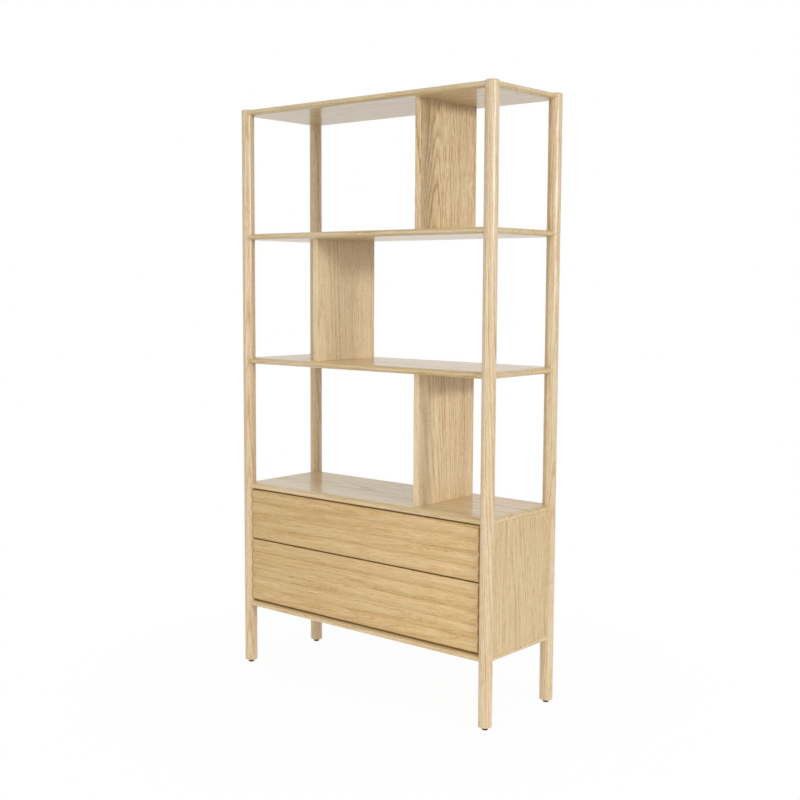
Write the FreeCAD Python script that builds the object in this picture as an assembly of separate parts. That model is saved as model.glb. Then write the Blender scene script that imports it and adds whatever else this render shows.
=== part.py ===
import FreeCAD
import Part
import math
import os

V = FreeCAD.Vector

# Overall size, all lengths in millimetres
WIDTH = 1000.0
DEPTH = 350.0
HEIGHT = 1800.0

# Round corner posts
POST_R = 20.0
POST_X = WIDTH / 2 - POST_R
POST_Y = DEPTH / 2 - POST_R
POST_BOTTOM = 9.0
POST_TOP_ROUND = 5.0
POST_FOOT_CHAMFER = 1.5
NOTCH_GAP = 0.1

# Boards: every edge tapers to a nose that stops just inside the posts' outline
NOSE_X = 495.5
NOSE_Y = 172.0
EDGE_TAPER = 22.0
BOARD_T = 20.0
BOARD_MIDS = {
    "base_board": 202.0,
    "cabinet_top": 593.0,
    "lower_shelf": 1001.5,
    "upper_shelf": 1398.5,
    "top_shelf": HEIGHT - BOARD_T / 2,
}

# Upright dividers, which stand right, left and right of the middle from the top down
DIVIDER_X = 204.0
DIVIDER_T = 20.0
DIVIDER_Y = 133.5
DIVIDER_EASE = 1.5

# Cabinet sides and back
SIDE_OUT = 491.0
SIDE_IN = 473.0
BACK_Y = 121.0
BACK_T = 8.0
BACK_GROOVE = 5.0

# Drawers: fronts with convex horizontal ribs, boxes with grooved-in bottoms
RIB_PITCH = 39.8
RIB_BULGE = 6.0
RIB_VALLEY_Y = -162.0
FRONT_BACK_Y = -146.0
FRONT_X = 458.0
DRAWER_X = 443.0
DRAWER_BACK_Y = 116.0
DRAWER_T = 12.0
BOTTOM_T = 6.0
BOTTOM_RISE = 10.0
GROOVE_DEPTH = 6.0
GROOVE_GAP = 0.15
BOX_PIN_R = 3.0
BOX_PIN_LOW = 30.0
BOX_PIN_HIGH = 20.0
DRAWERS = {
    "upper": {"front_z": 421.5, "ribs": 4, "box_z": 435.0, "box_h": 112.0},
    "lower": {"front_z": 218.0, "ribs": 5, "box_z": 233.0, "box_h": 146.0},
}

# Telescopic runners, one pair to each drawer
RUNNER_Y = -134.0
RUNNER_L = 250.0
RUNNER_DEEP = 12.7
RUNNER_WALL = DRAWER_X + RUNNER_DEEP
RUNNER_HALF = 22.5
PACKER_HALF = 24.0
SHEET = 1.2

# Dowels and levelling feet
DOWEL_R = 4.0
DOWEL_GAP = 0.05
DOWEL_HALF = 14.0
CORNER_DOWEL_START = 4.0
CORNER_DOWEL_END = 48.0
DIVIDER_DOWEL_Y = (-80.0, 90.0)
SIDE_DOWEL_Y = (-90.0, 90.0)
SIDE_DOWEL_X = 481.0
FOOT_R = 9.0
STUD_R = 4.0
STUD_TOP = 36.0
INSERT_R = 6.0
INSERT_TOP = 31.0

pieces = {}
CORNERS = {
    "front_left": (-1, -1),
    "front_right": (1, -1),
    "rear_left": (-1, 1),
    "rear_right": (1, 1),
}
SIDES = {"left": -1, "right": 1}


def box(x0, x1, y0, y1, z0, z1):
    """Box between two opposite corners, given in any order."""
    low = V(min(x0, x1), min(y0, y1), min(z0, z1))
    return Part.makeBox(abs(x1 - x0), abs(y1 - y0), abs(z1 - z0), low)


def rod(radius, start, end):
    """Round rod between two points."""
    run = end - start
    return Part.makeCylinder(radius, run.Length, start, run)


def prism(points, direction):
    """Straight extrusion of a closed polygon."""
    wire = Part.makePolygon(points + [points[0]])
    return Part.Face(wire).extrude(direction)


def half_nose(centre, taper, half_t, sign):
    """Half ellipse in the XY plane that closes a board's section at one end."""
    ellipse = Part.Ellipse(centre, taper, half_t)
    start = -math.pi / 2 if sign > 0 else math.pi / 2
    return Part.ArcOfEllipse(ellipse, start, start + math.pi).toShape()


def nosed_section(nose, half_t, taper):
    """Section along X, thick along Y, with an elliptical nose at each end."""
    flat = nose - taper
    edges = [
        Part.makeLine(V(-flat, -half_t, 0), V(flat, -half_t, 0)),
        half_nose(V(flat, 0, 0), taper, half_t, 1),
        Part.makeLine(V(flat, half_t, 0), V(-flat, half_t, 0)),
        half_nose(V(-flat, 0, 0), taper, half_t, -1),
    ]
    return Part.Face(Part.Wire(edges))


def nosed_board(mid_z):
    """Board whose four edges taper to a nose, mitred where two edges meet.

    The board is what two long sections have in common, one drawn out along Y and one
    along X. Each corner is then coped round its post.
    """
    half = BOARD_T / 2
    long_face = nosed_section(NOSE_X, half, EDGE_TAPER)
    long_face.rotate(V(0, 0, 0), V(1, 0, 0), 90)
    long_face.translate(V(0, -NOSE_Y - 5, mid_z))
    along = long_face.extrude(V(0, 2 * NOSE_Y + 10, 0))
    short_face = nosed_section(NOSE_Y, half, EDGE_TAPER)
    short_face.rotate(V(0, 0, 0), V(1, 0, 0), 90)
    short_face.rotate(V(0, 0, 0), V(0, 0, 1), 90)
    short_face.translate(V(-NOSE_X - 5, 0, mid_z))
    across = short_face.extrude(V(2 * NOSE_X + 10, 0, 0))
    board = along.common(across)
    for sx, sy in CORNERS.values():
        board = board.cut(rod(POST_R + NOTCH_GAP, V(sx * POST_X, sy * POST_Y, mid_z - BOARD_T),
                              V(sx * POST_X, sy * POST_Y, mid_z + BOARD_T)))
        board = board.cut(box(sx * POST_X, sx * WIDTH, sy * POST_Y, sy * DEPTH,
                              mid_z - BOARD_T, mid_z + BOARD_T))
    return board


def corner_dowel(sx, sy, z, gap=0.0):
    """Dowel from the middle of a post diagonally into a board."""
    inward = V(-sx, -sy, 0).normalize()
    axis = V(sx * POST_X, sy * POST_Y, z)
    return rod(DOWEL_R + gap, axis + inward * (CORNER_DOWEL_START - gap),
               axis + inward * (CORNER_DOWEL_END + gap))


def post(sx, sy):
    """Round post with a rounded top and a bore for its foot."""
    body = Part.makeCylinder(POST_R, HEIGHT - POST_BOTTOM, V(0, 0, POST_BOTTOM))
    top = [e for e in body.Edges if e.BoundBox.ZMin > HEIGHT - 1]
    body = body.makeFillet(POST_TOP_ROUND, top)
    foot = [e for e in body.Edges if e.BoundBox.ZMax < POST_BOTTOM + 1]
    body = body.makeChamfer(POST_FOOT_CHAMFER, foot)
    body = body.cut(rod(INSERT_R, V(0, 0, 0), V(0, 0, INSERT_TOP)))
    body = body.cut(rod(STUD_R + 0.5, V(0, 0, 0), V(0, 0, STUD_TOP + 9)))
    body.translate(V(sx * POST_X, sy * POST_Y, 0))
    for mid_z in BOARD_MIDS.values():
        body = body.cut(corner_dowel(sx, sy, mid_z, DOWEL_GAP))
    return body


def foot_pad():
    """Nylon pad of a levelling foot, domed under and hollowed round its stud."""
    profile = [
        V(0, 0, 0), V(FOOT_R - 2.0, 0, 0), V(FOOT_R - 0.6, 0, 0.6), V(FOOT_R, 0, 2.0),
        V(FOOT_R, 0, 6.4), V(FOOT_R - 0.8, 0, 7.2), V(FOOT_R - 2.6, 0, POST_BOTTOM - 0.3),
        V(STUD_R, 0, POST_BOTTOM - 0.3), V(STUD_R, 0, 3.0), V(0, 0, 3.0),
    ]
    face = Part.Face(Part.makePolygon(profile + [profile[0]]))
    return face.revolve(V(0, 0, 0), V(0, 0, 1), 360)


def foot_stud():
    """Threaded stud of a levelling foot, drawn at its pitch diameter."""
    stud = rod(STUD_R, V(0, 0, 3.0), V(0, 0, STUD_TOP))
    tip = [e for e in stud.Edges if e.BoundBox.ZMin > STUD_TOP - 1]
    return stud.makeChamfer(0.8, tip)


def divider(x, z0, z1):
    """Upright board with its four long edges rounded over."""
    panel = box(x - DIVIDER_T / 2, x + DIVIDER_T / 2, -DIVIDER_Y, DIVIDER_Y, z0, z1)
    long_edges = [e for e in panel.Edges if e.BoundBox.ZLength > 1]
    return panel.makeFillet(DIVIDER_EASE, long_edges)


def ribbed_front(z0, ribs):
    """Drawer front made of equal convex ribs that meet in sharp valleys."""
    z1 = z0 + ribs * RIB_PITCH
    edges = []
    for i in range(ribs):
        low = V(0, RIB_VALLEY_Y, z0 + i * RIB_PITCH)
        crest = V(0, RIB_VALLEY_Y - RIB_BULGE, z0 + (i + 0.5) * RIB_PITCH)
        high = V(0, RIB_VALLEY_Y, z0 + (i + 1) * RIB_PITCH)
        edges.append(Part.Arc(low, crest, high).toShape())
    edges.append(Part.makeLine(V(0, RIB_VALLEY_Y, z1), V(0, FRONT_BACK_Y, z1)))
    edges.append(Part.makeLine(V(0, FRONT_BACK_Y, z1), V(0, FRONT_BACK_Y, z0)))
    edges.append(Part.makeLine(V(0, FRONT_BACK_Y, z0), V(0, RIB_VALLEY_Y, z0)))
    front = Part.Face(Part.Wire(edges)).extrude(V(2 * FRONT_X, 0, 0))
    front.translate(V(-FRONT_X, 0, 0))
    return front


def channel(web_x, lip_x, half, sign, z):
    """Rolled runner member: a web along the drawer with a flange at top and bottom.

    web_x and lip_x are distances from the cabinet side, towards the drawer.
    """
    bend = 1.0 if lip_x > web_x else -1.0
    far = web_x + bend * SHEET
    section = [
        (web_x, -half + 1), (web_x + bend, -half), (lip_x, -half), (lip_x, -half + SHEET),
        (far + bend, -half + SHEET), (far, -half + SHEET + 1), (far, half - SHEET - 1),
        (far + bend, half - SHEET), (lip_x, half - SHEET), (lip_x, half), (web_x + bend, half),
        (web_x, half - 1),
    ]
    points = [V(sign * (RUNNER_WALL - u), RUNNER_Y, z + v) for u, v in section]
    return prism(points, V(0, RUNNER_L, 0))


def drawer(name, front_z, ribs, box_z, box_h):
    """One drawer: ribbed front, two sides, back, bottom and its dowels."""
    inner = DRAWER_X - DRAWER_T
    back_y = DRAWER_BACK_Y - DRAWER_T
    reach = GROOVE_DEPTH - GROOVE_GAP
    bottom_z = box_z + BOTTOM_RISE
    groove = box(-inner - GROOVE_DEPTH, inner + GROOVE_DEPTH, FRONT_BACK_Y - GROOVE_DEPTH,
                 back_y + GROOVE_DEPTH, bottom_z - GROOVE_GAP, bottom_z + BOTTOM_T + GROOVE_GAP)
    front = ribbed_front(front_z, ribs).cut(groove)
    back = box(-inner, inner, back_y, DRAWER_BACK_Y, box_z, box_z + box_h).cut(groove)
    pins, bores = [], []
    for sign in SIDES.values():
        x = sign * (inner + DRAWER_T / 2)
        y = back_y + DRAWER_T / 2
        for z in (box_z + BOX_PIN_LOW, box_z + box_h - BOX_PIN_HIGH):
            for made, gap in ((pins, 0.0), (bores, DOWEL_GAP)):
                made.append(rod(BOX_PIN_R + gap, V(x, FRONT_BACK_Y - 8 - gap, z),
                                V(x, FRONT_BACK_Y + 20 + gap, z)))
                made.append(rod(BOX_PIN_R + gap, V(sign * (inner - 16 - gap), y, z),
                                V(sign * (inner + 8 + gap), y, z)))
    drill = Part.makeCompound(bores)
    pieces[name + "_drawer_front"] = front.cut(drill)
    pieces[name + "_drawer_back"] = back.cut(drill)
    for side, sign in SIDES.items():
        wall = box(sign * inner, sign * DRAWER_X, FRONT_BACK_Y, DRAWER_BACK_Y, box_z, box_z + box_h)
        pieces[name + "_drawer_side_" + side] = wall.cut(groove).cut(drill)
    pieces[name + "_drawer_bottom"] = box(-inner - reach, inner + reach, FRONT_BACK_Y - reach,
                                          back_y + reach, bottom_z, bottom_z + BOTTOM_T)
    pieces[name + "_drawer_dowels"] = Part.makeCompound(pins)


def runners(name, z):
    """Left and right runner of a drawer: packer, fixed, middle and drawer members."""
    for side, sign in SIDES.items():
        pieces[name + "_runner_packer_" + side] = box(
            sign * RUNNER_WALL, sign * SIDE_IN, RUNNER_Y, RUNNER_Y + RUNNER_L,
            z - PACKER_HALF, z + PACKER_HALF)
        pieces[name + "_runner_fixed_" + side] = channel(0, 11.7, RUNNER_HALF, sign, z)
        pieces[name + "_runner_middle_" + side] = channel(2.4, 10.7, 18.4, sign, z)
        pieces[name + "_runner_drawer_" + side] = channel(RUNNER_DEEP, 5.2, 13.4, sign, z)


def upright_dowels(x, ys, z, gap=0.0):
    """Dowels that stand across the joint at height z, half in each piece."""
    half = DOWEL_HALF + gap
    return [rod(DOWEL_R + gap, V(x, y, z - half), V(x, y, z + half)) for y in ys]


def top_of(name):
    """Height of a board's upper face."""
    return BOARD_MIDS[name] + BOARD_T / 2


def under(name):
    """Height of a board's lower face."""
    return BOARD_MIDS[name] - BOARD_T / 2


def side_panel(sign, base, cover):
    """Cabinet side, coped at its ends round the posts and the boards' tapered edges."""
    panel = box(sign * SIDE_IN, sign * SIDE_OUT, -POST_Y, POST_Y,
                BOARD_MIDS["base_board"], BOARD_MIDS["cabinet_top"])
    for sy in (-1, 1):
        panel = panel.cut(rod(POST_R + NOTCH_GAP, V(sign * POST_X, sy * POST_Y, 0),
                              V(sign * POST_X, sy * POST_Y, HEIGHT)))
    return panel.cut(base).cut(cover)


# Posts and levelling feet
for corner, (sx, sy) in CORNERS.items():
    pieces["post_" + corner] = post(sx, sy)
    for part_name, shape in (("foot_pad_", foot_pad()), ("foot_stud_", foot_stud())):
        shape.translate(V(sx * POST_X, sy * POST_Y, 0))
        pieces[part_name + corner] = shape
sleeves = []
for sx, sy in CORNERS.values():
    base = V(sx * POST_X, sy * POST_Y, POST_BOTTOM + 0.5)
    top = V(sx * POST_X, sy * POST_Y, INSERT_TOP - 0.2)
    sleeves.append(rod(INSERT_R - 0.05, base, top).cut(rod(STUD_R + 0.05, base, top)))
pieces["foot_inserts"] = Part.makeCompound(sleeves)

# Boards, dividers and the cabinet's sides, with the dowels that join them
boards = {name: nosed_board(mid_z) for name, mid_z in BOARD_MIDS.items()}
cabinet_sides = {side: side_panel(sign, boards["base_board"], boards["cabinet_top"])
                 for side, sign in SIDES.items()}
corner_pins = []
for name, mid_z in BOARD_MIDS.items():
    for sx, sy in CORNERS.values():
        boards[name] = boards[name].cut(corner_dowel(sx, sy, mid_z, DOWEL_GAP))
        corner_pins.append(corner_dowel(sx, sy, mid_z))

uprights = {
    "top_divider": (DIVIDER_X, "upper_shelf", "top_shelf"),
    "middle_divider": (-DIVIDER_X, "lower_shelf", "upper_shelf"),
    "bottom_divider": (DIVIDER_X, "cabinet_top", "lower_shelf"),
}
divider_pins = []
for name, (x, below, above) in uprights.items():
    pieces[name] = divider(x, top_of(below), under(above))
    for board, z in ((below, top_of(below)), (above, under(above))):
        bores = Part.makeCompound(upright_dowels(x, DIVIDER_DOWEL_Y, z, DOWEL_GAP))
        pieces[name] = pieces[name].cut(bores)
        boards[board] = boards[board].cut(bores)
        divider_pins += upright_dowels(x, DIVIDER_DOWEL_Y, z)

cabinet_floor = top_of("base_board")
cabinet_ceiling = under("cabinet_top")
side_pins = []
back_groove = box(-SIDE_IN - BACK_GROOVE, SIDE_IN + BACK_GROOVE, BACK_Y - GROOVE_GAP,
                  BACK_Y + BACK_T + GROOVE_GAP, cabinet_floor - 1, cabinet_ceiling + 1)
for side, sign in SIDES.items():
    panel = cabinet_sides[side].cut(back_groove)
    for board, z in (("base_board", cabinet_floor), ("cabinet_top", cabinet_ceiling)):
        bores = Part.makeCompound(upright_dowels(sign * SIDE_DOWEL_X, SIDE_DOWEL_Y, z, DOWEL_GAP))
        panel = panel.cut(bores)
        boards[board] = boards[board].cut(bores)
        side_pins += upright_dowels(sign * SIDE_DOWEL_X, SIDE_DOWEL_Y, z)
    pieces["cabinet_side_" + side] = panel

reach = SIDE_IN + BACK_GROOVE - GROOVE_GAP
pieces["cabinet_back"] = box(-reach, reach, BACK_Y, BACK_Y + BACK_T, cabinet_floor, cabinet_ceiling)
pieces["corner_dowels"] = Part.makeCompound(corner_pins)
pieces["divider_dowels"] = Part.makeCompound(divider_pins)
pieces["side_dowels"] = Part.makeCompound(side_pins)
pieces.update(boards)

# Drawers on their runners
for name, size in DRAWERS.items():
    drawer(name, size["front_z"], size["ribs"], size["box_z"], size["box_h"])
    runners(name, size["box_z"] + size["box_h"] / 2)

os.makedirs("parts", exist_ok=True)
for name, shape in pieces.items():
    shape.exportStep("parts/" + name + ".step")
    print(name, len(shape.Solids), "solid(s)", round(shape.Volume / 1000.0, 2), "cm3")
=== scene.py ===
"""Oak bookcase with a ribbed two-drawer base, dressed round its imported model.

Lengths in the classes are millimetres in the model's own frame: +X to the right seen from
the front, +Y towards the back and +Z up from the floor. Lamps and the floor are in metres.
"""

import logging
import math
from dataclasses import dataclass, field, replace
from enum import Enum

import bmesh
import bpy
import numpy as np
from mathutils import Matrix, Vector


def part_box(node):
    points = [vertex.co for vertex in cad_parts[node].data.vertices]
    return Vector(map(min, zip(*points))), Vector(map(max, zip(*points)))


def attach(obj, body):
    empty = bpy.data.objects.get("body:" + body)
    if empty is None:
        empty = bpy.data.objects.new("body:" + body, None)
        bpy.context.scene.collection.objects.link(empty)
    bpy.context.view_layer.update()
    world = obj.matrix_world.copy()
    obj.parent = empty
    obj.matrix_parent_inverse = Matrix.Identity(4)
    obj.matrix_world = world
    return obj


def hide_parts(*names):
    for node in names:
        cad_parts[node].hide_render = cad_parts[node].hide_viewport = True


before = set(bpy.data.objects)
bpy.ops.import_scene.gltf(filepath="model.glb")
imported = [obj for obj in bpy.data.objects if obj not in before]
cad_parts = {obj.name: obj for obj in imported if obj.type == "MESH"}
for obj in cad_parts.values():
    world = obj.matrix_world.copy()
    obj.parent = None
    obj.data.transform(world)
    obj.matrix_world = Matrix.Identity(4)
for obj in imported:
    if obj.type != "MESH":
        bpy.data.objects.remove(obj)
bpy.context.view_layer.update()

MM = 0.001
LOG = logging.getLogger("bookcase")
CORNERS = ("front_left", "front_right", "rear_left", "rear_right")
BOARDS = ("base_board", "cabinet_top", "lower_shelf", "upper_shelf", "top_shelf")

# Points that agree to this many decimals of a millimetre are welded
WELD_DIGITS = 4


def box_mm(node: str) -> tuple[np.ndarray, np.ndarray]:
    """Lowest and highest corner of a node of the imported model, in millimetres."""
    low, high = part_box(node)
    return np.array(low) / MM, np.array(high) / MM


# Colours and nodes


def linear(hex_colour: str) -> tuple[float, float, float, float]:
    """Turns an sRGB hex colour into linear light.

    Args:
        hex_colour: Six hex digits, such as "d2b88c".

    Returns:
        Linear red, green and blue with an alpha of one.
    """
    parts = [int(hex_colour[i : i + 2], 16) / 255.0 for i in (0, 2, 4)]
    light = [c / 12.92 if c <= 0.04045 else ((c + 0.055) / 1.055) ** 2.4 for c in parts]
    return (light[0], light[1], light[2], 1.0)


def add_node(
    tree: bpy.types.NodeTree, kind: str, inputs: dict[str | int, object] | None = None,
    **settings: object,
) -> bpy.types.Node:
    """Adds one shader node with its settings, values and links.

    Args:
        tree: The node tree that takes the node.
        kind: What follows "ShaderNode" in Blender's type name.
        inputs: Values, output sockets or nodes for the node's inputs, by name or number. A
            node stands for its first output.
        **settings: Properties of the node itself.

    Returns:
        The new node.
    """
    node = tree.nodes.new(f"ShaderNode{kind}")
    for name, value in settings.items():
        setattr(node, name, value)
    for key, value in (inputs or {}).items():
        if isinstance(value, bpy.types.Node):
            value = value.outputs[0]
        if isinstance(value, bpy.types.NodeSocket):
            tree.links.new(value, node.inputs[key])
        else:
            node.inputs[key].default_value = value
    return node


def blank_material(name: str) -> tuple[bpy.types.Material, bpy.types.Node]:
    """Makes a material that holds one Principled shader.

    Args:
        name: The material's name.

    Returns:
        The material and its shader node.
    """
    material = bpy.data.materials.new(name)
    material.use_nodes = True
    tree = material.node_tree
    tree.nodes.clear()
    shader = add_node(tree, "BsdfPrincipled")
    add_node(tree, "OutputMaterial", {"Surface": shader})
    return material, shader


def grade(ramp: bpy.types.ColorRamp, stops: tuple[tuple[float, str | float], ...]) -> None:
    """Fills a colour ramp.

    Args:
        ramp: The ramp, with Blender's own two stops.
        stops: Place and colour of each stop, where a single number stands for a grey.
    """
    while len(ramp.elements) < len(stops):
        ramp.elements.new(0.5)
    for element, (place, colour) in zip(ramp.elements, stops):
        element.position = place
        element.color = linear(colour) if isinstance(colour, str) else (colour, colour, colour, 1.0)


# Finishes


class Along(Enum):
    """Which axes a wooden piece's grain, width and thickness follow."""

    ROW = ("X", "Y", "Z")
    FRONT = ("X", "Z", "Y")
    UPRIGHT = ("Z", "Y", "X")
    BACK = ("Z", "X", "Y")
    DEPTH = ("Y", "X", "Z")


@dataclass(frozen=True)
class Cut:
    """How one piece was sawn from its log, or its face laid from veneer leaves.

    The log's heart is a line along the grain, depth_mm behind the middle of the face and
    shift_mm to one side of it, and it rises by lean for each millimetre along the grain. The
    grain as a whole is turned by turn_degrees in the face. A face is laid from leaves of
    leaf_mm, the first of which ends leaf_end of a leaf's width past the middle, and leaf_tone
    says how far their tones differ. The trunk's bends push the lines sideways by up to half
    of bend_mm, over about bend_long_mm. The seed picks the place in the log.
    """

    along: Along
    seed: float
    depth_mm: float = 70.0
    shift_mm: float = 0.0
    lean: float = 0.02
    turn_degrees: float = 0.0
    leaf_mm: float = 3000.0
    leaf_end: float = 0.5
    leaf_tone: float = 0.0
    bend_mm: float = 26.0
    bend_long_mm: float = 420.0


@dataclass(frozen=True)
class Sawn:
    """Where in its log each point of a piece was, as the nodes of its material work it out.

    It holds the place in the log, the millimetres along the grain, and a chance number that
    is the same all over one leaf of veneer.
    """

    tree: bpy.types.NodeTree
    cut: Cut
    place: bpy.types.Node
    grain: bpy.types.NodeSocket
    chance: bpy.types.Node


@dataclass(frozen=True)
class Wood:
    """Sawn wood under a satin clear lacquer.

    On oak the eye sees growth rings as lines or arches a few millimetres apart, short dark
    dashes where the open pores of early wood are cut, small grey flecks of the rays, and a
    clear sheen over it all at low angles. On birch and beech all of it is far fainter.

    Light, mid and dark are the tones of the wood, and pore is the colour of the dashes. Rings,
    fibres, sweeps, pores and rays say how strongly each shows, where fibres are narrow streaks
    and sweeps are broad changes of tone. Stretch lengthens both. A pair of sizes stands for
    along and across the grain. The places given to the noises only keep one from repeating
    another.
    """

    name: str
    light: str
    mid: str
    dark: str
    pore: str = "8f6633"
    fleck: str = "eff1ec"
    ring_mm: float = 6.5
    rings: float = 0.34
    fibres: float = 1.0
    sweeps: float = 1.0
    stretch: float = 1.0
    pores: float = 0.5
    rays: float = 0.3
    roughness: float = 0.45
    roughness_spread: tuple[float, float] = (-0.05, 0.07)
    ior: float = 1.5
    coat: float = 0.45
    coat_roughness: float = 0.14
    coat_ior: float = 1.45
    leaf_jump_mm: tuple[float, float, float] = (900.0, 40.0, 20.0)
    seed_jump_mm: float = 310.0
    bend_across_mm: float = 80.0
    ragged_mm: float = 3.2
    ragged_size_mm: tuple[float, float] = (55.0, 7.0)
    dash_mm: tuple[float, float] = (16.0, 1.0)
    dash_edge: tuple[float, float] = (0.64, 0.70)
    dash_crowding: float = 0.09
    fleck_mm: tuple[float, float] = (9.0, 3.2)
    fleck_edge: tuple[float, float] = (0.58, 0.70)
    bump: float = 0.3
    relief_mm: float = 0.2

    def sawn(self, tree: bpy.types.NodeTree, piece: str, cut: Cut) -> Sawn:
        """Works out where in its log each point of a piece was.

        A point's millimetres along, across and into the face are moved by the chance of its
        leaf, turned in the face, and pushed sideways by slow bends of the trunk.

        Args:
            tree: The material's nodes.
            piece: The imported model's node whose middle centres the pattern.
            cut: How the piece was sawn.

        Returns:
            The places in the log.
        """
        low, high = box_mm(piece)
        coords = add_node(tree, "TexCoord")
        placed = add_node(tree, "Mapping", {
            "Vector": coords.outputs["Object"], "Scale": (1.0 / MM, 1.0 / MM, 1.0 / MM),
            "Location": tuple(-0.5 * (low + high)),
        })
        split = add_node(tree, "SeparateXYZ", {0: placed})
        grain, width, thick = (split.outputs[axis] for axis in cut.along.value)
        face = add_node(tree, "CombineXYZ", {0: grain, 1: width, 2: thick})
        leaf = add_node(tree, "Math", {0: width, 1: 1.0 / cut.leaf_mm, 2: cut.leaf_end},
                        operation="MULTIPLY_ADD")
        number = add_node(tree, "Math", {0: leaf}, operation="FLOOR")
        chance = add_node(tree, "TexWhiteNoise", {
            "W": add_node(tree, "Math", {0: number, 1: cut.seed}),
        }, noise_dimensions="1D")
        moved = add_node(tree, "VectorMath", {
            0: chance.outputs["Color"], 1: self.leaf_jump_mm, 2: face,
        }, operation="MULTIPLY_ADD")
        turned_face = add_node(tree, "Mapping", {
            "Vector": moved, "Rotation": (0.0, 0.0, math.radians(cut.turn_degrees)),
            "Location": (cut.seed * self.seed_jump_mm, 0.0, 0.0),
        })
        along, across = 1.0 / cut.bend_long_mm, 1.0 / self.bend_across_mm
        bend = add_node(tree, "TexNoise", {
            "Vector": add_node(tree, "Mapping", {
                "Vector": turned_face, "Scale": (along, across, across),
                "Location": (cut.seed * 1.7, cut.seed, 5.0),
            }),
            "Scale": 1.0, "Detail": 2.0, "Roughness": 0.45,
        })
        bent = add_node(tree, "VectorMath", {
            0: bend.outputs["Color"], 1: (0.0, cut.bend_mm, cut.bend_mm), 2: turned_face,
        }, operation="MULTIPLY_ADD")
        return Sawn(tree, cut, bent, grain, chance)

    def ring(self, sawn: Sawn) -> bpy.types.Node:
        """Draws growth rings: the distance from the heart line over the ring's width.

        The line's lean is added to the distance, and so is a ragged few millimetres. Within
        a ring the tone rises quickly to the early wood and fades to the late wood, and each
        year has its own strength.

        Args:
            sawn: The places in the log.

        Returns:
            The node that gives the ring's darkness.
        """
        tree, cut = sawn.tree, sawn.cut
        middle = 0.5 * cut.bend_mm
        from_heart = add_node(tree, "VectorMath", {
            0: sawn.place, 1: (0.0, 1.0, 1.0),
            2: (0.0, cut.shift_mm - middle, cut.depth_mm - middle),
        }, operation="MULTIPLY_ADD")
        radius = add_node(tree, "VectorMath", {0: from_heart}, operation="LENGTH")
        leaned = add_node(tree, "Math", {0: sawn.grain, 1: cut.lean, 2: radius.outputs["Value"]},
                          operation="MULTIPLY_ADD")
        along, across = (1.0 / size for size in self.ragged_size_mm)
        ragged = add_node(tree, "TexNoise", {
            "Vector": add_node(tree, "Mapping", {
                "Vector": sawn.place, "Scale": (along, across, across),
                "Location": (cut.seed, 0.0, 9.0),
            }),
            "Scale": 1.0, "Detail": 3.0, "Roughness": 0.6,
        })
        rings = add_node(tree, "Math", {
            0: add_node(tree, "Math", {0: ragged, 1: self.ragged_mm, 2: leaned},
                        operation="MULTIPLY_ADD"),
            1: self.ring_mm,
        }, operation="DIVIDE")
        phase = add_node(tree, "Math", {0: rings}, operation="FRACT")
        year = add_node(tree, "TexWhiteNoise", {
            "W": add_node(tree, "Math", {0: rings}, operation="FLOOR"),
        }, noise_dimensions="1D")
        shade = add_node(tree, "ValToRGB", {0: phase})
        grade(shade.color_ramp, (
            (0.0, 0.35), (0.12, 1.0), (0.30, 0.75), (0.55, 0.2), (0.9, 0.0), (1.0, 0.35)))
        strength = add_node(tree, "Math", {0: year, 1: 0.9, 2: 0.35}, operation="MULTIPLY_ADD")
        return add_node(tree, "Math", {0: shade, 1: strength}, operation="MULTIPLY")

    def tone(self, sawn: Sawn, ring: bpy.types.Node) -> bpy.types.Node:
        """Adds fibres, sweeps and the leaf's own tone to the rings.

        Each layer has its millimetres along and across the grain and its share of the tone.
        The finest fibres are as coarse as 2.2 mm, so that they show.

        Args:
            sawn: The places in the log.
            ring: The ring's darkness.

        Returns:
            The node that gives the wood's tone, from nought for light to one for dark.
        """
        tree, cut = sawn.tree, sawn.cut
        middle = 0.5 - 0.42 * self.rings
        tone = add_node(tree, "Math", {0: ring, 1: self.rings, 2: middle},
                        operation="MULTIPLY_ADD")
        layers = (
            (26.0, 2.2, 0.95 * self.fibres), (110.0, 4.0, 0.7 * self.fibres),
            (420.0, 15.0, 0.45 * self.sweeps), (300.0, 90.0, 0.3 * self.sweeps),
        )
        for layer, (along_mm, across_mm, share) in enumerate(layers):
            streak = add_node(tree, "TexNoise", {
                "Vector": add_node(tree, "Mapping", {
                    "Vector": sawn.place,
                    "Scale": (1.0 / (along_mm * self.stretch), 1.0 / across_mm, 1.0 / across_mm),
                    "Location": (cut.seed * 2.3, layer * 7.0, cut.seed),
                }),
                "Scale": 1.0, "Detail": 3.0, "Roughness": 0.6,
            })
            tone = add_node(tree, "Math", {
                0: add_node(tree, "Math", {0: streak, 1: share, 2: -0.5 * share},
                            operation="MULTIPLY_ADD"),
                1: tone,
            })
        own = add_node(tree, "Math", {0: sawn.chance, 1: cut.leaf_tone, 2: -0.5 * cut.leaf_tone},
                       operation="MULTIPLY_ADD")
        return add_node(tree, "Math", {0: own, 1: tone})

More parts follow.
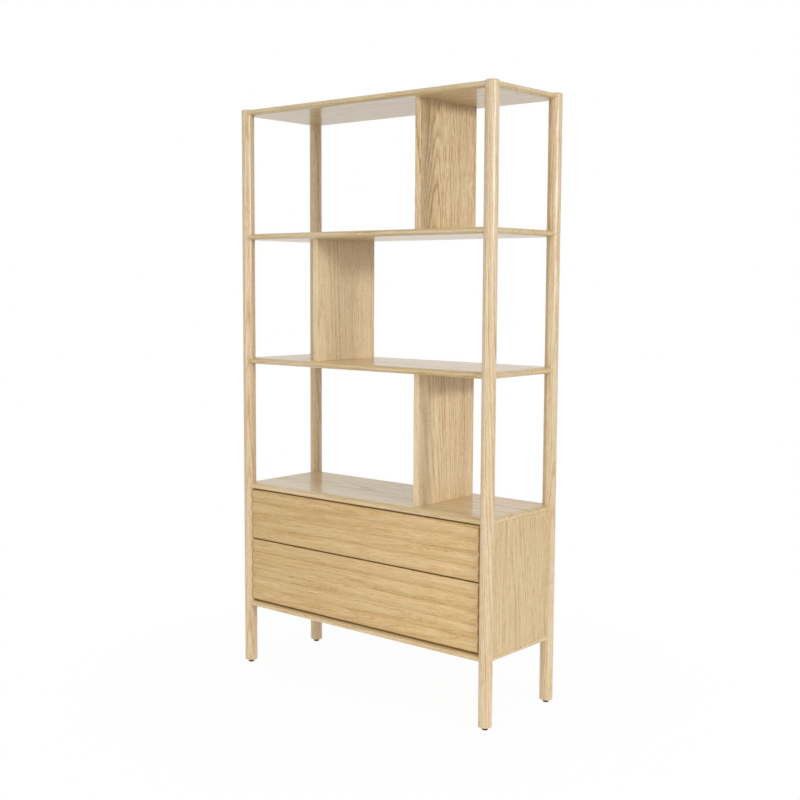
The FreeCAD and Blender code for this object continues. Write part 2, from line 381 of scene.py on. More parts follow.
    def dashes(self, sawn: Sawn, ring: bpy.types.Node) -> bpy.types.Node:
        """Draws the pores as dashes, which crowd into the early wood.

        They are three times their real width, so that they show.

        Args:
            sawn: The places in the log.
            ring: The ring's darkness.

        Returns:
            The node that gives how strongly a dash shows.
        """
        tree, seed = sawn.tree, sawn.cut.seed
        along, across = (1.0 / size for size in self.dash_mm)
        dash = add_node(tree, "TexNoise", {
            "Vector": add_node(tree, "Mapping", {
                "Vector": sawn.place, "Scale": (along, across, across),
                "Location": (3.0, seed, 1.0),
            }),
            "Scale": 1.0, "Detail": 1.5, "Roughness": 0.5,
        })
        crowd = add_node(tree, "Math", {0: ring, 1: self.dash_crowding, 2: dash},
                         operation="MULTIPLY_ADD")
        start, full = self.dash_edge
        return add_node(tree, "MapRange", {0: crowd, 1: start, 2: full, 3: 0.0, 4: self.pores})

    def flecks(self, sawn: Sawn) -> bpy.types.Node:
        """Draws the rays as short flecks, a little askew to the grain.

        Args:
            sawn: The places in the log.

        Returns:
            The node that gives how strongly a fleck shows.
        """
        tree, seed = sawn.tree, sawn.cut.seed
        along, across = (1.0 / size for size in self.fleck_mm)
        fleck = add_node(tree, "TexNoise", {
            "Vector": add_node(tree, "Mapping", {
                "Vector": sawn.place, "Scale": (along, across, across),
                "Rotation": (0.0, 0.0, 0.2), "Location": (seed, 2.0, 4.0),
            }),
            "Scale": 1.0, "Detail": 1.0, "Roughness": 0.5,
        })
        start, full = self.fleck_edge
        return add_node(tree, "MapRange", {0: fleck, 1: start, 2: full, 3: 0.0, 4: self.rays})

    def material(self, piece: str, cut: Cut) -> bpy.types.Material:
        """Makes this wood for one piece.

        Args:
            piece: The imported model's node that the wood is for.
            cut: How the piece was sawn.

        Returns:
            The finished material.
        """
        material, shader = blank_material(f"{self.name}_{piece}")
        tree = material.node_tree
        sawn = self.sawn(tree, piece, cut)
        ring = self.ring(sawn)
        tone = self.tone(sawn, ring)
        dash = self.dashes(sawn, ring)
        fleck = self.flecks(sawn)
        colours = add_node(tree, "ValToRGB", {0: tone})
        grade(colours.color_ramp, ((0.1, self.light), (0.5, self.mid), (0.9, self.dark)))
        pored = add_node(tree, "Mix", {0: dash, 6: colours, 7: linear(self.pore)},
                         data_type="RGBA")
        flecked = add_node(tree, "Mix", {0: fleck, 6: pored.outputs[2], 7: linear(self.fleck)},
                           data_type="RGBA", blend_type="MULTIPLY")

        # Pores are sunk and early wood stands a little proud
        proud = add_node(tree, "Math", {0: ring, 1: 0.15}, operation="MULTIPLY")
        height = add_node(tree, "Math", {0: dash, 1: -1.0, 2: proud}, operation="MULTIPLY_ADD")
        bump = add_node(tree, "Bump", {
            "Strength": self.bump, "Distance": self.relief_mm * MM, "Height": height,
        })
        smooth, rough = (self.roughness + spread for spread in self.roughness_spread)
        matte = add_node(tree, "MapRange", {0: tone, 1: 0.2, 2: 0.8, 3: smooth, 4: rough})
        tree.links.new(flecked.outputs[2], shader.inputs["Base Color"])
        tree.links.new(bump.outputs[0], shader.inputs["Normal"])
        tree.links.new(matte.outputs[0], shader.inputs["Roughness"])
        shader.inputs["IOR"].default_value = self.ior
        shader.inputs["Coat Weight"].default_value = self.coat
        shader.inputs["Coat Roughness"].default_value = self.coat_roughness
        shader.inputs["Coat IOR"].default_value = self.coat_ior
        return material


@dataclass(frozen=True)
class ZincSteel:
    """Zinc-plated rolled steel: a grey metal with a faint spangle under soft rolling lines."""

    name: str = "zinc_steel"
    colour: str = "b9bdc0"
    roughness: float = 0.34
    roughness_spread: tuple[float, float] = (-0.06, 0.08)
    spangle_mm: float = 6.0
    rolling_mm: tuple[float, float] = (50.0, 0.5)
    bump: float = 0.15
    relief_mm: float = 0.05

    def material(self) -> bpy.types.Material:
        """Makes the metal, whose rolling lines run along the runners.

        Returns:
            The finished material.
        """
        material, shader = blank_material(self.name)
        tree = material.node_tree
        coords = add_node(tree, "TexCoord")
        spangle = add_node(tree, "TexVoronoi", {
            "Vector": coords.outputs["Object"], "Scale": 1.0 / (self.spangle_mm * MM),
        })
        smooth, dull = (self.roughness + spread for spread in self.roughness_spread)
        rough = add_node(tree, "MapRange", {0: spangle.outputs["Color"], 3: smooth, 4: dull})
        along, across = (1.0 / (size * MM) for size in self.rolling_mm)
        lines = add_node(tree, "TexNoise", {
            "Vector": add_node(tree, "Mapping", {
                "Vector": coords.outputs["Object"], "Scale": (across, along, across),
            }),
            "Scale": 1.0, "Detail": 2.0,
        })
        bump = add_node(tree, "Bump", {
            "Strength": self.bump, "Distance": self.relief_mm * MM, "Height": lines,
        })
        tree.links.new(rough.outputs[0], shader.inputs["Roughness"])
        tree.links.new(bump.outputs[0], shader.inputs["Normal"])
        shader.inputs["Base Color"].default_value = linear(self.colour)
        shader.inputs["Metallic"].default_value = 1.0
        return material


@dataclass(frozen=True)
class BlackNylon:
    """Moulded black nylon: matte, with a fine spark-eroded grain in its sheen."""

    name: str = "black_nylon"
    colour: str = "1c1c1d"
    roughness: float = 0.55
    roughness_spread: tuple[float, float] = (-0.05, 0.05)
    ior: float = 1.53
    grain_mm: float = 0.4
    bump: float = 0.2
    relief_mm: float = 0.1

    def material(self) -> bpy.types.Material:
        """Makes the plastic.

        Returns:
            The finished material.
        """
        material, shader = blank_material(self.name)
        tree = material.node_tree
        coords = add_node(tree, "TexCoord")
        grain = add_node(tree, "TexNoise", {
            "Vector": coords.outputs["Object"], "Scale": 1.0 / (self.grain_mm * MM), "Detail": 1.0,
        })
        bump = add_node(tree, "Bump", {
            "Strength": self.bump, "Distance": self.relief_mm * MM, "Height": grain,
        })
        smooth, dull = (self.roughness + spread for spread in self.roughness_spread)
        rough = add_node(tree, "MapRange", {0: grain, 1: 0.3, 2: 0.7, 3: smooth, 4: dull})
        tree.links.new(bump.outputs[0], shader.inputs["Normal"])
        tree.links.new(rough.outputs[0], shader.inputs["Roughness"])
        shader.inputs["Base Color"].default_value = linear(self.colour)
        shader.inputs["IOR"].default_value = self.ior
        return material


# Surfaces


@dataclass
class Shell:
    """A closed surface put together from patches, which are welded into one mesh."""

    points: list[np.ndarray] = field(default_factory=list)
    quads: list[np.ndarray] = field(default_factory=list)
    rims: list[np.ndarray] = field(default_factory=list)
    count: int = 0

    def grid(self, patch: np.ndarray) -> None:
        """Adds a patch whose cell (i, j) joins points i, j to i + 1, j + 1.

        Args:
            patch: Points as an array of rows, columns and three coordinates.
        """
        rows, columns = patch.shape[:2]
        index = np.arange(rows * columns).reshape(rows, columns) + self.count
        cells = np.stack([index[:-1, :-1], index[:-1, 1:], index[1:, 1:], index[1:, :-1]], -1)
        self.points.append(patch.reshape(-1, 3))
        self.quads.append(cells.reshape(-1, 4))
        self.count += rows * columns

    def cap(self, outline: np.ndarray) -> None:
        """Adds one flat face inside a closed outline, given once round.

        Args:
            outline: Points as an array of rows and three coordinates.
        """
        self.points.append(outline)
        self.rims.append(np.arange(len(outline)) + self.count)
        self.count += len(outline)

    def build(self, name: str, sharp_degrees: float = 32.0) -> bpy.types.Object:
        """Welds points that share a place, drops collapsed sides and makes the object.

        Args:
            name: The object's name.
            sharp_degrees: Edges that turn by more than this are drawn sharp.

        Returns:
            The object, at the origin, with its faces pointing outwards.
        """
        places = np.concatenate(self.points)
        _, first, welded = np.unique(np.round(places, WELD_DIGITS), axis=0, return_index=True,
                                     return_inverse=True)
        welded = welded.reshape(-1)
        quads = welded[np.concatenate(self.quads)]
        same = quads == np.roll(quads, -1, axis=1)
        folds = same.sum(axis=1)
        triangles = quads[folds == 1][~same[folds == 1]].reshape(-1, 3)
        faces = quads[folds == 0].tolist() + triangles.tolist()
        faces += [welded[rim].tolist() for rim in self.rims]
        mesh = bpy.data.meshes.new(name)
        mesh.from_pydata((places[first] * MM).tolist(), [], faces)
        shaped = bmesh.new()
        shaped.from_mesh(mesh)
        bmesh.ops.recalc_face_normals(shaped, faces=shaped.faces)
        shaped.to_mesh(mesh)
        shaped.free()
        mesh.polygons.foreach_set("use_smooth", np.ones(len(mesh.polygons), bool))
        mesh.set_sharp_from_angle(angle=math.radians(sharp_degrees))
        thing = bpy.data.objects.new(name, mesh)
        bpy.context.scene.collection.objects.link(thing)
        return thing


def arc(cx: float, cy: float, r: float, start: float, end: float, steps: int) -> np.ndarray:
    """Points on a circle: centre plus radius times cosine and sine of an even run of angles.

    Args:
        cx: Centre, first coordinate.
        cy: Centre, second coordinate.
        r: Radius.
        start: First angle in degrees.
        end: Last angle in degrees.
        steps: Number of stretches.

    Returns:
        An array of points with two coordinates.
    """
    angle = np.radians(np.linspace(start, end, steps + 1))
    return np.stack([cx + r * np.cos(angle), cy + r * np.sin(angle)], -1)


def turned(name: str, profile: np.ndarray, x: float, y: float, steps: int) -> bpy.types.Object:
    """Turns a profile of radius and height round an upright axis.

    Each point goes to (x + r cos a, y + r sin a, z) for even angles a; radius nought closes
    the surface at a pole.

    Args:
        name: The object's name.
        profile: Radius and height of each point, from pole to pole.
        x: The axis's place.
        y: The axis's place.
        steps: Stretches round the axis.

    Returns:
        The turned object.
    """
    angle = np.linspace(0.0, 2.0 * np.pi, steps + 1)[:, None]
    angle[-1] = 0.0
    r, z = profile[:, 0][None, :], profile[:, 1][None, :]
    shell = Shell()
    shell.grid(np.stack([x + r * np.cos(angle), y + r * np.sin(angle), z + 0.0 * angle], -1))
    return shell.build(name)


def dress(thing: bpy.types.Object, node: str, body: str,
          material: bpy.types.Material) -> None:
    """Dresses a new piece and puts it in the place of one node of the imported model.

    Args:
        thing: The new piece.
        node: The node that it replaces.
        body: The body that it moves with.
        material: The piece's finish.
    """
    thing.data.materials.append(material)
    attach(thing, body)
    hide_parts(node)
    LOG.info("%s: %d faces", thing.name, len(thing.data.polygons))


def refinish(node: str, material: bpy.types.Material) -> None:
    """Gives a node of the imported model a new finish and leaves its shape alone.

    Args:
        node: The node's name.
        material: The new finish.
    """
    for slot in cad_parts[node].material_slots:
        slot.material = material
    LOG.info("%s: refinished", node)


# The bookcase


@dataclass
class Posts:
    """Four round posts with softly rounded ends, bored for the levelling feet.

    The wide bore takes the threaded insert, and the narrow one above it the top of the stud.
    """

    wood: Wood
    top_round: float = 5.0
    foot_round: float = 1.5
    insert_bore: float = 6.0
    insert_top: float = 31.0
    stud_bore: float = 4.5
    stud_top: float = 45.0
    steps: int = 96
    cuts: dict[str, Cut] = field(default_factory=lambda: {
        "front_left": Cut(Along.UPRIGHT, 4.0, depth_mm=-45.0, lean=0.03, shift_mm=18.0),
        "front_right": Cut(Along.UPRIGHT, 6.3, depth_mm=60.0, lean=0.035, shift_mm=26.0),
        "rear_left": Cut(Along.UPRIGHT, 8.6, depth_mm=30.0, lean=0.04, shift_mm=-20.0),
        "rear_right": Cut(Along.UPRIGHT, 10.9, depth_mm=-70.0, lean=0.02, shift_mm=8.0),
    })

    def profile(self, radius: float, bottom: float, top: float) -> np.ndarray:
        """Goes down both bores, round the foot, up the side and over the top.

        Args:
            radius: The post's radius.
            bottom: The height of its lower end.
            top: The height of its upper end.

        Returns:
            Radius and height of each point.
        """
        return np.concatenate([
            [[0.0, self.stud_top], [self.stud_bore, self.stud_top]],
            [[self.stud_bore, self.insert_top], [self.insert_bore, self.insert_top]],
            [[self.insert_bore, bottom]],
            arc(radius - self.foot_round, bottom + self.foot_round, self.foot_round, -90, 0, 6),
            arc(radius - self.top_round, top - self.top_round, self.top_round, 0, 90, 10),
            [[0.0, top]],
        ])

    def build(self) -> None:
        """Builds and dresses the posts."""
        for corner in CORNERS:
            node = f"post_{corner}"
            low, high = box_mm(node)
            x, y = (low + high)[:2] / 2.0
            profile = self.profile((high - low)[0] / 2.0, low[2], high[2])
            thing = turned(f"{node}_turned", profile, x, y, self.steps)
            dress(thing, node, "frame", self.wood.material(node, self.cuts[corner]))


@dataclass
class Boards:
    """Five boards whose edges narrow to a nose and whose corners are coped round the posts."""

    wood: Wood
    taper: float = 22.0
    flat_rim: float = 2.0
    cope: float = 20.1
    edge_steps: int = 28
    cope_steps: int = 32
    cuts: dict[str, Cut] = field(default_factory=lambda: {
        "base_board": Cut(Along.ROW, 11.0, depth_mm=-60.0, leaf_mm=118.0, leaf_tone=0.10),
        "cabinet_top": Cut(Along.ROW, 14.1, depth_mm=80.0, leaf_mm=118.0, leaf_tone=0.16),
        "lower_shelf": Cut(Along.ROW, 17.2, depth_mm=-90.0, leaf_mm=118.0, leaf_tone=0.12),
        "upper_shelf": Cut(Along.ROW, 20.3, depth_mm=55.0, leaf_mm=118.0, leaf_tone=0.12),
        "top_shelf": Cut(Along.ROW, 23.4, depth_mm=-75.0, leaf_mm=118.0, leaf_tone=0.12),
    })

    def board(self, node: str) -> bpy.types.Object:
        """Builds one board as a closed outline that swells and shrinks from face to face.

        At each angle from 0 to 180 degrees the height is half the thickness times the cosine,
        and the straight edges stand out from the flat by the taper times the sine. In each
        corner the outline follows the cope's circle from where it meets one edge to where it
        meets the other. One more row, a flat rim further in, keeps the flat faces flat.

        Args:
            node: The node that gives the board's sizes.

        Returns:
            The board.
        """
        low, high = box_mm(node)
        mid, half = (low + high)[2] / 2.0, (high - low)[2] / 2.0
        post_low, post_high = box_mm("post_rear_right")
        post_x, post_y = (post_low + post_high)[:2] / 2.0
        turn = np.linspace(0.0, np.pi, self.edge_steps + 1)
        swell = self.taper * (np.concatenate([[0.0], np.sin(turn), [0.0]]) - 1.0)
        swell[[0, -1]] -= self.flat_rim
        height = mid + half * np.concatenate([[1.0], np.cos(turn), [-1.0]])
        start = np.pi - np.arcsin((high[1] + swell - post_y) / self.cope)
        end = 1.5 * np.pi + np.arcsin((high[0] + swell - post_x) / self.cope)
        share = np.linspace(0.0, 1.0, self.cope_steps + 1)
        angle = start[:, None] + (end - start)[:, None] * share
        corner = np.stack([post_x + self.cope * np.cos(angle), post_y + self.cope * np.sin(angle),
                           np.repeat(height[:, None], len(share), 1)], -1)
        quarters = [corner, corner[:, ::-1] * (1, -1, 1), corner * (-1, -1, 1),
                    corner[:, ::-1] * (-1, 1, 1)]
        loop = np.concatenate([*quarters, corner[:, :1]], 1)
        shell = Shell()
        shell.grid(loop)
        shell.cap(loop[0, :-1])
        shell.cap(loop[-1, :-1])
        return shell.build(f"{node}_shaped")

    def build(self) -> None:
        """Builds and dresses the boards."""
        for node in BOARDS:
            dress(self.board(node), node, "frame",
                  self.wood.material(node, self.cuts[node]))


@dataclass
class Uprights:
    """The dividers between the shelves and the cabinet's sides and back, as the model has them."""

    lively_oak: Wood
    plain_oak: Wood
    side_oak: Wood
    back_oak: Wood
    cuts: dict[str, Cut] = field(default_factory=lambda: {
        "top_divider": Cut(Along.UPRIGHT, 31.0, depth_mm=26.0, shift_mm=48.0, lean=0.07,
                           leaf_mm=92.0, leaf_tone=0.2),
        "middle_divider": Cut(Along.UPRIGHT, 33.7, depth_mm=120.0, shift_mm=90.0, lean=0.02,
                              leaf_mm=92.0, leaf_tone=0.2, bend_mm=10.0),
        "bottom_divider": Cut(Along.UPRIGHT, 36.4, depth_mm=140.0, shift_mm=120.0, lean=0.03,
                              leaf_mm=92.0, leaf_tone=0.2, bend_mm=12.0),
        "cabinet_side_left": Cut(Along.UPRIGHT, 46.0, depth_mm=90.0, shift_mm=10.0, lean=0.03,
                                 leaf_mm=104.0, leaf_tone=0.1),
        "cabinet_side_right": Cut(Along.UPRIGHT, 48.0, depth_mm=110.0, shift_mm=40.0, lean=0.02,
                                  leaf_mm=104.0, leaf_tone=0.1),
        "cabinet_back": Cut(Along.BACK, 71.0, depth_mm=110.0, leaf_mm=150.0, leaf_tone=0.12),
    })

    def build(self) -> None:
        """Dresses the panels."""
        woods = {
            "top_divider": self.lively_oak, "middle_divider": self.plain_oak,
            "bottom_divider": self.plain_oak, "cabinet_side_left": self.side_oak,
            "cabinet_side_right": self.side_oak, "cabinet_back": self.back_oak,
        }
        for node, wood in woods.items():
            refinish(node, wood.material(node, self.cuts[node]))


@dataclass
class Drawer:
    """One drawer: a front of convex ribs, and the box behind it."""

    name: str
    ribs: int
    face: Wood
    box: Wood
    dowel: Wood
    cut: Cut
    bulge: float = 6.0
    ease: float = 0.8
    rib_steps: int = 20
    grain: dict[str, Along] = field(default_factory=lambda: {
        "side_left": Along.DEPTH, "side_right": Along.DEPTH, "back": Along.FRONT,
        "bottom": Along.ROW, "dowels": Along.DEPTH,
    })

    def section(self, low: np.ndarray, high: np.ndarray) -> np.ndarray:
        """Outline in Y and Z: one circular arc to each rib, then the flat back.

        The arc's radius is (half pitch squared plus bulge squared) over twice the bulge.

        Args:
            low: The front's lowest corner.
            high: The front's highest corner.

        Returns:
            Points once round, with two coordinates.
        """
        pitch = (high[2] - low[2]) / self.ribs
        radius = (pitch ** 2 / 4.0 + self.bulge ** 2) / (2.0 * self.bulge)
        reach = math.degrees(math.asin(pitch / 2.0 / radius))
        arcs = [
            arc(low[1] + radius, low[2] + (i + 0.5) * pitch, radius, 180 + reach, 180 - reach,
                self.rib_steps)[:-1]
            for i in range(self.ribs)
        ]
        ends = [[low[1] + self.bulge, high[2]], [high[1], high[2]], [high[1], low[2]]]
        return np.concatenate([*arcs, ends])

    def inward(self, outline: np.ndarray) -> np.ndarray:
        """Works out how each point of an outline moves when the outline shrinks by one.

        It is the sum of the unit normals of the two sides over half that sum's square, which
        mitres the corner. The square is kept from going so low that a corner shoots out.

        Args:
            outline: Points once round, with two coordinates.

        Returns:
            One step of two coordinates for each point.
        """
        before, after = np.roll(outline, 1, axis=0), np.roll(outline, -1, axis=0)
        come, go = outline - before, after - outline
        sides = come / np.linalg.norm(come, axis=1, keepdims=True)
        sides = sides + go / np.linalg.norm(go, axis=1, keepdims=True)
        mitre = np.stack([-sides[:, 1], sides[:, 0]], -1)
        mitre = mitre / np.maximum((mitre ** 2).sum(axis=1, keepdims=True) / 2.0, 0.35)
        area = np.sum(outline[:, 0] * after[:, 1] - after[:, 0] * outline[:, 1])
        return mitre * np.sign(area)

    def front(self, node: str) -> bpy.types.Object:
        """Carries the section along X, and eases the rim of both ends.

        At the ends the outline shrinks along its own normals by the ease, while the station
        moves inwards by the same amount, in a rough quarter round of three stations.

        Args:
            node: The node that gives the front's sizes.

        Returns:
            The front.
        """
        low, high = box_mm(node)
        outline = self.section(low, high)
        rise = self.ease * np.array([0.0, 0.3, 1.0])
        fall = rise[::-1]
        station = np.concatenate([low[0] + rise, high[0] - fall])
        drop = np.concatenate([fall, rise])
        ring = outline[None] + self.inward(outline)[None] * drop[:, None, None]
        places = np.concatenate([np.repeat(station[:, None, None], len(outline), 1), ring], -1)
        shell = Shell()
        shell.grid(np.concatenate([places, places[:, :1]], 1))
        shell.cap(places[0])
        shell.cap(places[-1])
        return shell.build(f"{node}_shaped")

    def build(self) -> None:
        """Builds the front and dresses the box with its dowels."""
        body = f"{self.name}_drawer"
        node = f"{body}_front"
        dress(self.front(node), node, body, self.face.material(node, self.cut))
        for part, along in self.grain.items():
            piece = f"{body}_{part}"
            wood = self.dowel if part == "dowels" else self.box
            refinish(piece, wood.material(piece, Cut(along, self.cut.seed + len(part))))


@dataclass
class Feet:
    """Levelling feet: a moulded pad on a threaded stud under each post."""

    nylon: BlackNylon
    steel: ZincSteel
    sole_round: float = 2.0
    shoulder_round: float = 2.6
    socket: float = 3.0
    pad_steps: int = 48
    thread_pitch: float = 1.25
    thread_depth: float = 0.68
    thread_sharp_degrees: float = 60.0
    turn_steps: int = 24
    pitch_steps: int = 8

    def pad(self, node: str, stud_radius: float) -> bpy.types.Object:
        """Turns the pad, from the middle of its underside round its rim to its socket.

        Args:
            node: The node that gives the pad's sizes.
            stud_radius: The radius of its socket.

        Returns:
            The pad.
        """
        low, high = box_mm(node)
        x, y = (low + high)[:2] / 2.0
        r, top = (high - low)[0] / 2.0, high[2]
        sole, shoulder = self.sole_round, self.shoulder_round
        profile = np.concatenate([
            [[0.0, 0.0]],
            arc(r - sole, sole, sole, -90, 0, 6),
            arc(r - shoulder, top - shoulder, shoulder, 0, 90, 8),
            [[stud_radius, top], [stud_radius, self.socket], [0.0, self.socket]],
        ])
        return turned(f"{node}_turned", profile, x, y, self.pad_steps)

    def stud(self, node: str) -> bpy.types.Object:
        """Cuts the stud's thread.

        The radius falls from the crest by the thread's depth times a triangle wave of height
        over pitch less the angle over a whole turn, and the last pitch at each end runs out to
        the root.

        Args:
            node: The node that gives the stud's sizes.

        Returns:
            The stud.
        """
        low, high = box_mm(node)
        x, y = (low + high)[:2] / 2.0
        crest = (high - low)[0] / 2.0
        rows = int((high - low)[2] / self.thread_pitch * self.pitch_steps)
        z = np.linspace(low[2], high[2], rows + 1)[:, None]
        turn = np.linspace(0.0, 1.0, self.turn_steps + 1)[None, :]
        wave = np.abs(2.0 * np.mod(z / self.thread_pitch - turn, 1.0) - 1.0)
        runout = np.clip(np.minimum(z - low[2], high[2] - z) / self.thread_pitch, 0.0, 1.0)
        r = crest - self.thread_depth * (1.0 - runout * (1.0 - wave))
        angle = 2.0 * np.pi * turn
        wall = np.stack([x + r * np.cos(angle), y + r * np.sin(angle), z + 0.0 * angle], -1)
        wall[:, -1] = wall[:, 0]
        shell = Shell()
        shell.grid(wall)
        shell.cap(wall[0, :-1])
        shell.cap(wall[-1, :-1])
        return shell.build(f"{node}_threaded", self.thread_sharp_degrees)

    def build(self) -> None:
        """Builds and dresses the feet."""
        nylon, steel = self.nylon.material(), self.steel.material()
        for corner in CORNERS:
            body, stud = f"foot_{corner}", f"foot_stud_{corner}"
            low, high = box_mm(stud)
            pad = self.pad(f"foot_pad_{corner}", (high - low)[0] / 2.0)
            dress(pad, f"foot_pad_{corner}", body, nylon)
            dress(self.stud(stud), stud, body, steel)
        refinish("foot_inserts", steel)


@dataclass
class Hardware:
    """The drawers' runners with their packers, and the dowels in the joints."""

    packer: Wood
    dowel: Wood
    steel: ZincSteel
    first_seed: float = 3.0
    dowels: tuple[str, ...] = ("corner_dowels", "divider_dowels", "side_dowels")

    def build(self) -> None:
        """Dresses the runners, packers and dowels."""
        metal = self.steel.material()
        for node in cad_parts:
            cut = Cut(Along.DEPTH, self.first_seed + len(node))
            if "_runner_packer_" in node:
                refinish(node, self.packer.material(node, cut))
            elif node in self.dowels:
                refinish(node, self.dowel.material(node, cut))
            elif "_runner_" in node:
                refinish(node, metal)


# The studio


@dataclass(frozen=True)
class Lamp:
    """One soft lamp, placed, sized and aimed in metres."""

    name: str
    place: tuple[float, float, float]
    size: tuple[float, float]
    watts: float
    aim: tuple[float, float, float]

    def hang(self) -> None:
        """Hangs the lamp and turns it to its aim."""
        light = bpy.data.lights.new(self.name, "AREA")
        light.shape = "RECTANGLE"
        light.size, light.size_y = self.size
        light.energy = self.watts
        lamp = bpy.data.objects.new(self.name, light)
        bpy.context.scene.collection.objects.link(lamp)
        lamp.location = self.place
        sight = Vector(self.aim) - Vector(self.place)
        lamp.rotation_euler = sight.to_track_quat("-Z", "Y").to_euler()
        lamp.visible_camera = False


@dataclass
class Studio:
    """A pale floor, soft lamps, a white backdrop and the camera.

    Where the camera or the lacquer sees the floor, it is plain white by a share that grows
    from the first to the second of near_white, at the distances near_white_m from the middle.
    What is left of it near the bookcase takes the soft shadows. As a source of light, its
    paper is pale out to the first of paper_m and darkens to the second. The room's light goes
    from horizon to overhead between the two in rise, the upward shares of a ray's direction.
    """

    camera_mm: tuple[float, float, float] = (2460.2, -2880.4, 1255.4)
    yaw: float = 40.157
    pitch: float = 5.468
    roll: float = 0.282
    focal_px: float = 1226.56
    picture_px: float = 800.0
    sensor_mm: float = 36.0
    floor_half_m: float = 14.0
    near_white: tuple[float, float] = (0.95, 1.0)
    near_white_m: tuple[float, float] = (0.4, 1.2)
    paper: tuple[str, str] = ("fafafa", "787878")
    paper_m: tuple[float, float] = (1.2, 3.5)
    paper_ramp_m: float = 10.0
    room: str = "fdfcfa"
    white: str = "ffffff"
    horizon: float = 0.67
    overhead: float = 0.74
    rise: tuple[float, float] = (0.15, 0.7)
    lamps: tuple[Lamp, ...] = (
        Lamp("right_softbox", place=(5.1, -1.08, 2.15), size=(0.85, 0.45), watts=94.0,
             aim=(0.4, 0.0, 1.0)),
        Lamp("strip_light", place=(3.9, -3.2, 1.95), size=(0.5, 1.2), watts=17.0,
             aim=(-0.2, 0.0, 1.95)),
        Lamp("front_softbox", place=(-0.9, -5.2, 1.15), size=(3.0, 1.6), watts=60.0,
             aim=(0.0, 0.0, 0.9)),
    )

    def floor(self) -> None:
        """Lays a plain pale floor that looks white and keeps soft shadows near the feet."""
        mesh = bpy.data.meshes.new("floor")
        corners = np.array([(-1, -1, 0), (1, -1, 0), (1, 1, 0), (-1, 1, 0)]) * self.floor_half_m
        mesh.from_pydata(corners.tolist(), [], [(0, 1, 2, 3)])
        floor = bpy.data.objects.new("floor", mesh)
        bpy.context.scene.collection.objects.link(floor)
        material, shader = blank_material("pale_floor")
        shader.inputs["Roughness"].default_value = 0.9
        tree = material.node_tree
        ray = add_node(tree, "LightPath")
        seen = add_node(tree, "Math", {
            0: ray.outputs["Is Camera Ray"], 1: ray.outputs["Is Glossy Ray"],
        }, operation="MAXIMUM")
        coords = add_node(tree, "TexCoord")
        away = add_node(tree, "VectorMath", {0: coords.outputs["Object"]}, operation="LENGTH")
        (close, far), (least, most) = self.near_white_m, self.near_white
        near = add_node(tree, "MapRange", {
            0: away.outputs["Value"], 1: close, 2: far, 3: least, 4: most,
        }, interpolation_type="SMOOTHSTEP")
        paper = add_node(tree, "ValToRGB", {
            0: add_node(tree, "Math", {0: away.outputs["Value"], 1: 1.0 / self.paper_ramp_m},
                        operation="MULTIPLY"),
        })
        grade(paper.color_ramp, tuple(
            (reach / self.paper_ramp_m, colour) for reach, colour in zip(self.paper_m, self.paper)))
        tree.links.new(paper.outputs[0], shader.inputs["Base Color"])
        share = add_node(tree, "Math", {0: seen, 1: near}, operation="MULTIPLY")
        white = add_node(tree, "Emission", {"Color": linear(self.white), "Strength": 1.0})
        mix = add_node(tree, "MixShader", {0: share, 1: shader, 2: white})
        output = next(node for node in tree.nodes if node.type == "OUTPUT_MATERIAL")
        tree.links.new(mix.outputs[0], output.inputs["Surface"])
        mesh.materials.append(material)

    def sky(self) -> None:
        """Lights the room evenly, a little more from above, and shows white behind.

        What the lacquer mirrors near the horizon is white too, as a studio's backdrop is.
        """
        world = bpy.data.worlds.new("studio")
        world.use_nodes = True
        tree = world.node_tree
        tree.nodes.clear()
        ray = add_node(tree, "LightPath")
        coords = add_node(tree, "TexCoord")
        upward = add_node(tree, "SeparateXYZ", {0: coords.outputs["Generated"]})
        glossy = add_node(tree, "Math", {
            0: ray.outputs["Is Glossy Ray"], 1: 1.0 - self.horizon, 2: self.horizon,
        }, operation="MULTIPLY_ADD")
        low, high = self.rise
        level = add_node(tree, "MapRange", {
            0: upward.outputs["Z"], 1: low, 2: high, 3: glossy, 4: self.overhead,
        })
        room = add_node(tree, "Background", {"Color": linear(self.room), "Strength": level})
        white = add_node(tree, "Background", {"Color": linear(self.white), "Strength": 1.0})
        mix = add_node(tree, "MixShader", {0: ray.outputs["Is Camera Ray"], 1: room, 2: white})
        add_node(tree, "OutputWorld", {"Surface": mix})
        bpy.context.scene.world = world

    def camera(self) -> None:
        """Sets the camera from its measured place, yaw, downward pitch and roll."""
        a, e, r = (math.radians(v) for v in (self.yaw, self.pitch, self.roll))
        back = Vector((math.sin(a) * math.cos(e), -math.cos(a) * math.cos(e), math.sin(e)))
        right = Vector((math.cos(a), math.sin(a), 0.0))
        up = back.cross(right)
        level = right * math.cos(r) + up * math.sin(r)
        tall = up * math.cos(r) - right * math.sin(r)
        turn = Matrix((level, tall, back)).transposed().to_4x4()
        data = bpy.data.cameras.new("camera")
        data.sensor_width = self.sensor_mm
        data.lens = self.focal_px * self.sensor_mm / self.picture_px
        camera = bpy.data.objects.new("camera", data)
        bpy.context.scene.collection.objects.link(camera)
        camera.matrix_world = Matrix.Translation(Vector(self.camera_mm) * MM) @ turn
        bpy.context.scene.camera = camera

    def build(self) -> None:
        """Builds the whole studio."""
        self.floor()
        self.sky()
        for lamp in self.lamps:
            lamp.hang()
        self.camera()
        bpy.context.scene.view_settings.view_transform = "Standard"


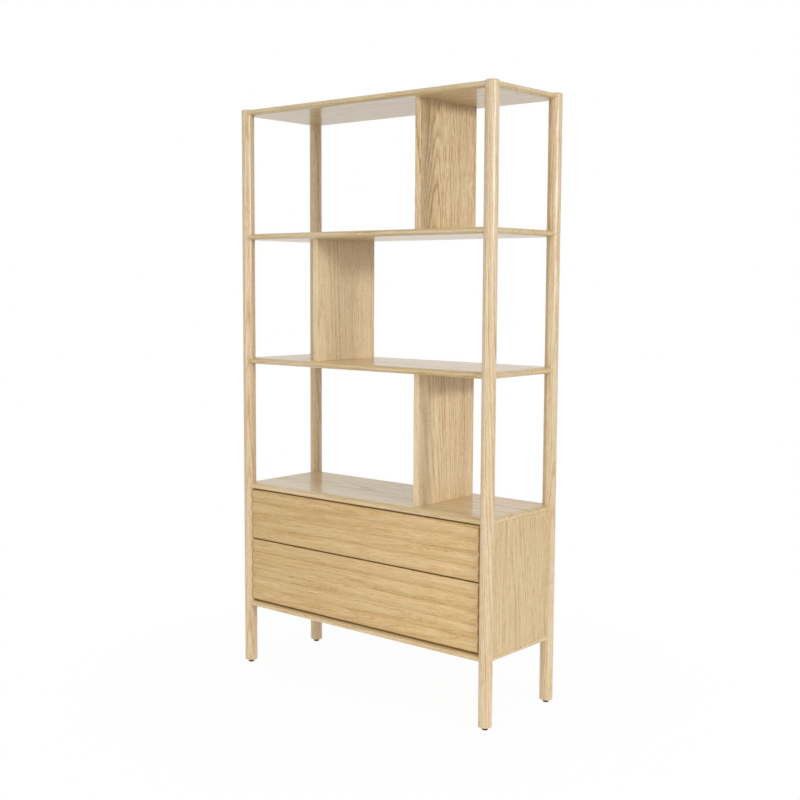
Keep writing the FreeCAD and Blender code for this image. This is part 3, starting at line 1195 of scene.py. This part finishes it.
def main() -> None:
    """Builds every sub-assembly in order."""
    logging.basicConfig(level=logging.INFO, format="%(name)s %(message)s")

    # The boards: pale straw oak, whose lacquer mirrors the room in a soft sheen
    oak = Wood("oak", light="e0ceab", mid="d3ba8a", dark="b99054", coat=0.6, coat_ior=1.5)

    # The posts: fewer streaks, more ray flecks, and one broad soft highlight down each
    post_oak = replace(oak, name="oak_post", light="e2d1b2", mid="d2b991", dark="b8925c",
                       rings=0.32, fibres=0.85, pores=0.4, rays=0.5, coat=0.9,
                       coat_roughness=0.32)

    # The top divider: bold figure from cream to brown, with little sheen
    lively_oak = replace(oak, name="oak_lively", light="f0dcb4", mid="d9be93", dark="b07f4a",
                         rings=0.4, fibres=1.3, coat=0.3)

    # The lower dividers: straight close grain with less contrast
    plain_oak = replace(lively_oak, name="oak_plain", light="ecd9b4", mid="dec59d", dark="bc9058",
                        rings=0.3, fibres=0.95)

    # The cabinet's sides: a shade darker, with more ray flecks
    side_oak = replace(oak, name="oak_side", light="d9c59f", mid="caaf80", dark="ad854c",
                       rays=0.5, coat=0.3)

    # The drawer fronts: golden, with long fine streaks, few rings and next to no sheen
    front_oak = replace(oak, name="oak_front", light="e0c99e", mid="d0b17b", dark="b88a43",
                        ring_mm=9.0, rings=0.1, sweeps=0.6, stretch=2.0, coat=0.1,
                        roughness=0.55)

    # Birch in the drawers and packers: cream and nearly plain under a thin seal
    birch = replace(oak, name="birch", light="ecdcbc", mid="e2cda6", dark="cdb58a", rings=0.12,
                    fibres=0.5, sweeps=0.5, pores=0.1, rays=0.1, coat=0.15)

    # Beech in the dowels: as pale and plain as the birch
    beech = replace(birch, name="beech")
    steel = ZincSteel()

    Posts(post_oak).build()
    Boards(oak).build()
    Uprights(lively_oak, plain_oak, side_oak, oak).build()
    upper_cut = Cut(Along.FRONT, 53.0, depth_mm=150.0, shift_mm=-60.0, lean=0.02,
                    turn_degrees=-1.0, bend_mm=22.0, bend_long_mm=700.0)
    lower_cut = Cut(Along.FRONT, 61.0, depth_mm=130.0, shift_mm=40.0, lean=0.03,
                    turn_degrees=-2.5, bend_mm=26.0, bend_long_mm=700.0)
    Drawer("upper", 4, front_oak, birch, beech, upper_cut).build()
    Drawer("lower", 5, front_oak, birch, beech, lower_cut).build()
    Hardware(birch, beech, steel).build()
    Feet(BlackNylon(), steel).build()
    Studio().build()


if __name__ == "__main__":
    main()
